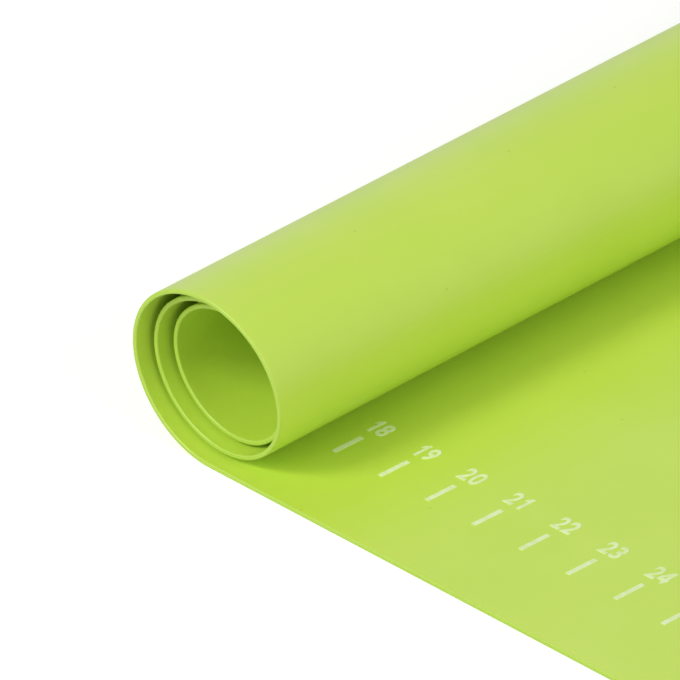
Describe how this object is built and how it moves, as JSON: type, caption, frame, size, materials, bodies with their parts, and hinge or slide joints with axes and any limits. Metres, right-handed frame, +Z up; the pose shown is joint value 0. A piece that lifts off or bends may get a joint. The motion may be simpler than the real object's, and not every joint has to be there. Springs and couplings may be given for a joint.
{
  "type": "silicone pastry mat",
  "caption": "Thin silicone pastry mat with a printed centimetre scale, lying flat with one end rolled up; the roll opens until the mat lies flat for rolling out dough.",
  "frame": {"origin": "middle of the part's box in plan, at the table that the flat part lies on", "axes": "+X along the printed scale, from the roll to the flat end; +Y across the mat, away from the edge with the scale; +Z up"},
  "size_m": [0.2068, 0.3066, 0.0281],
  "materials": {
    "silicone_sheet": "satin, smooth, lime green",
    "scale_ink": "matt white print"
  },
  "bodies": {
    "flat_part": {"flat_sheet": "silicone_sheet", "scale_mark_17": "scale_ink", "scale_mark_18": "scale_ink", "scale_mark_19": "scale_ink", "scale_mark_20": "scale_ink", "scale_mark_21": "scale_ink", "scale_mark_22": "scale_ink", "scale_mark_23": "scale_ink", "scale_mark_24": "scale_ink", "scale_mark_25": "scale_ink", "scale_mark_26": "scale_ink", "scale_mark_27": "scale_ink", "scale_mark_28": "scale_ink", "scale_mark_29": "scale_ink", "scale_mark_30": "scale_ink"},
    "lift_strip": {"lift_strip": "silicone_sheet"},
    "strip_16": {"strip_16": "silicone_sheet", "scale_mark_16": "scale_ink"},
    "strip_15": {"strip_15": "silicone_sheet", "scale_mark_15": "scale_ink"},
    "strip_14": {"strip_14": "silicone_sheet", "scale_mark_14": "scale_ink"},
    "strip_13": {"strip_13": "silicone_sheet", "scale_mark_13": "scale_ink"},
    "strip_12": {"strip_12": "silicone_sheet", "scale_mark_12": "scale_ink"},
    "strip_11": {"strip_11": "silicone_sheet", "scale_mark_11": "scale_ink"},
    "strip_10": {"strip_10": "silicone_sheet", "scale_mark_10": "scale_ink"},
    "strip_09": {"strip_09": "silicone_sheet", "scale_mark_09": "scale_ink"},
    "strip_08": {"strip_08": "silicone_sheet", "scale_mark_08": "scale_ink"},
    "strip_07": {"strip_07": "silicone_sheet", "scale_mark_07": "scale_ink"},
    "strip_06": {"strip_06": "silicone_sheet", "scale_mark_06": "scale_ink"},
    "strip_05": {"strip_05": "silicone_sheet", "scale_mark_05": "scale_ink"},
    "strip_04": {"strip_04": "silicone_sheet", "scale_mark_04": "scale_ink"},
    "strip_03": {"strip_03": "silicone_sheet", "scale_mark_03": "scale_ink"},
    "strip_02": {"strip_02": "silicone_sheet", "scale_mark_02": "scale_ink"},
    "strip_01": {"strip_01": "silicone_sheet", "scale_mark_01": "scale_ink"},
    "strip_00": {"strip_00": "silicone_sheet", "scale_mark_00": "scale_ink"},
    "margin_strip_01": {"margin_strip_01": "silicone_sheet"},
    "margin_strip_02": {"margin_strip_02": "silicone_sheet"},
    "margin_strip_03": {"margin_strip_03": "silicone_sheet"},
    "end_strip": {"end_strip": "silicone_sheet"}
  },
  "joints": [
    {"name": "lift_strip_bend", "type": "hinge", "parent": "flat_part", "child": "lift_strip", "pos_m": [-0.08169, -0.00335, 0], "axis": [0.0314, -0.9995, 0], "range_deg": [0, 2.74]},
    {"name": "strip_16_bend", "type": "hinge", "parent": "lift_strip", "child": "strip_16", "pos_m": [-0.08566, -0.00335, 0.00046], "axis": [0.0314, -0.9995, 0], "range_deg": [0, 21.62]},
    {"name": "strip_15_bend", "type": "hinge", "parent": "strip_16", "child": "strip_15", "pos_m": [-0.09426, -0.0033, 0.00529], "axis": [0.0314, -0.9995, 0], "range_deg": [0, 39.86]},
    {"name": "strip_14_bend", "type": "hinge", "parent": "strip_15", "child": "strip_14", "pos_m": [-0.09862, -0.00313, 0.0141], "axis": [0.0314, -0.9995, 0], "range_deg": [0, 41.08]},
    {"name": "strip_13_bend", "type": "hinge", "parent": "strip_14", "child": "strip_13", "pos_m": [-0.0959, -0.00273, 0.02342], "axis": [0.0314, -0.9995, 0], "range_deg": [0, 46.39]},
    {"name": "strip_12_bend", "type": "hinge", "parent": "strip_13", "child": "strip_12", "pos_m": [-0.08726, -0.00214, 0.02796], "axis": [0.0314, -0.9995, 0], "range_deg": [0, 37.94]},
    {"name": "strip_11_bend", "type": "hinge", "parent": "strip_12", "child": "strip_11", "pos_m": [-0.07758, -0.00152, 0.02626], "axis": [0.0314, -0.9995, 0], "range_deg": [0, 34.47]},
    {"name": "strip_10_bend", "type": "hinge", "parent": "strip_11", "child": "strip_10", "pos_m": [-0.07055, -0.00099, 0.01939], "axis": [0.0314, -0.9995, 0], "range_deg": [0, 39.51]},
    {"name": "strip_09_bend", "type": "hinge", "parent": "strip_10", "child": "strip_09", "pos_m": [-0.06949, -0.00064, 0.00971], "axis": [0.0314, -0.9995, 0], "range_deg": [0, 48.93]},
    {"name": "strip_08_bend", "type": "hinge", "parent": "strip_09", "child": "strip_08", "pos_m": [-0.07605, -0.00053, 0.00257], "axis": [0.0314, -0.9995, 0], "range_deg": [0, 43.8]},
    {"name": "strip_07_bend", "type": "hinge", "parent": "strip_08", "child": "strip_07", "pos_m": [-0.08584, -0.00052, 0.00194], "axis": [0.0314, -0.9995, 0], "range_deg": [0, 36.82]},
    {"name": "strip_06_bend", "type": "hinge", "parent": "strip_07", "child": "strip_06", "pos_m": [-0.09408, -0.00047, 0.00731], "axis": [0.0314, -0.9995, 0], "range_deg": [0, 40.06]},
    {"name": "strip_05_bend", "type": "hinge", "parent": "strip_06", "child": "strip_05", "pos_m": [-0.09691, -0.00024, 0.01662], "axis": [0.0314, -0.9995, 0], "range_deg": [0, 52.36]},
    {"name": "strip_04_bend", "type": "hinge", "parent": "strip_05", "child": "strip_04", "pos_m": [-0.09135, 0.00024, 0.02444], "axis": [0.0314, -0.9995, 0], "range_deg": [0, 48.67]},
    {"name": "strip_03_bend", "type": "hinge", "parent": "strip_04", "child": "strip_03", "pos_m": [-0.08164, 0.00086, 0.02544], "axis": [0.0314, -0.9995, 0], "range_deg": [0, 39.09]},
    {"name": "strip_02_bend", "type": "hinge", "parent": "strip_03", "child": "strip_02", "pos_m": [-0.07344, 0.00144, 0.02007], "axis": [0.0314, -0.9995, 0], "range_deg": [0, 42.54]},
    {"name": "strip_01_bend", "type": "hinge", "parent": "strip_02", "child": "strip_01", "pos_m": [-0.07107, 0.00182, 0.01068], "axis": [0.0314, -0.9995, 0], "range_deg": [0, 56.26]},
    {"name": "strip_00_bend", "type": "hinge", "parent": "strip_01", "child": "strip_00", "pos_m": [-0.07748, 0.00194, 0.00357], "axis": [0.0314, -0.9995, 0], "range_deg": [0, 49.92]},
    {"name": "margin_strip_01_bend", "type": "hinge", "parent": "strip_00", "child": "margin_strip_01", "pos_m": [-0.08724, 0.00195, 0.00389], "axis": [0.0314, -0.9995, 0], "range_deg": [0, 41.62]},
    {"name": "margin_strip_02_bend", "type": "hinge", "parent": "margin_strip_01", "child": "margin_strip_02", "pos_m": [-0.09433, 0.00204, 0.01061], "axis": [0.0314, -0.9995, 0], "range_deg": [0, 51.61]},
    {"name": "margin_strip_03_bend", "type": "hinge", "parent": "margin_strip_02", "child": "margin_strip_03", "pos_m": [-0.09349, 0.00238, 0.02007], "axis": [0.0314, -0.9995, 0], "range_deg": [0, 62.87]},
    {"name": "end_strip_bend", "type": "hinge", "parent": "margin_strip_03", "child": "end_strip", "pos_m": [-0.08459, 0.00297, 0.02368], "axis": [0.0314, -0.9995, 0], "range_deg": [0, 53.43]}
  ],
  "couplings": [
    {"joint": "lift_strip_bend", "follows": "strip_13_bend", "ratio": 0.058814},
    {"joint": "strip_16_bend", "follows": "strip_13_bend", "ratio": 0.46582},
    {"joint": "strip_15_bend", "follows": "strip_13_bend", "ratio": 0.85906},
    {"joint": "strip_14_bend", "follows": "strip_13_bend", "ratio": 0.8854},
    {"joint": "strip_12_bend", "follows": "strip_13_bend", "ratio": 0.81761},
    {"joint": "strip_11_bend", "follows": "strip_13_bend", "ratio": 0.74289},
    {"joint": "strip_10_bend", "follows": "strip_13_bend", "ratio": 0.85159},
    {"joint": "strip_09_bend", "follows": "strip_13_bend", "ratio": 1.0546},
    {"joint": "strip_08_bend", "follows": "strip_13_bend", "ratio": 0.94401},
    {"joint": "strip_07_bend", "follows": "strip_13_bend", "ratio": 0.79349},
    {"joint": "strip_06_bend", "follows": "strip_13_bend", "ratio": 0.86338},
    {"joint": "strip_05_bend", "follows": "strip_13_bend", "ratio": 1.1285},
    {"joint": "strip_04_bend", "follows": "strip_13_bend", "ratio": 1.0489},
    {"joint": "strip_03_bend", "follows": "strip_13_bend", "ratio": 0.84252},
    {"joint": "strip_02_bend", "follows": "strip_13_bend", "ratio": 0.91687},
    {"joint": "strip_01_bend", "follows": "strip_13_bend", "ratio": 1.2126},
    {"joint": "strip_00_bend", "follows": "strip_13_bend", "ratio": 1.076},
    {"joint": "margin_strip_01_bend", "follows": "strip_13_bend", "ratio": 0.897},
    {"joint": "margin_strip_02_bend", "follows": "strip_13_bend", "ratio": 1.1123},
    {"joint": "margin_strip_03_bend", "follows": "strip_13_bend", "ratio": 1.3551},
    {"joint": "end_strip_bend", "follows": "strip_13_bend", "ratio": 1.1516}
  ]
}
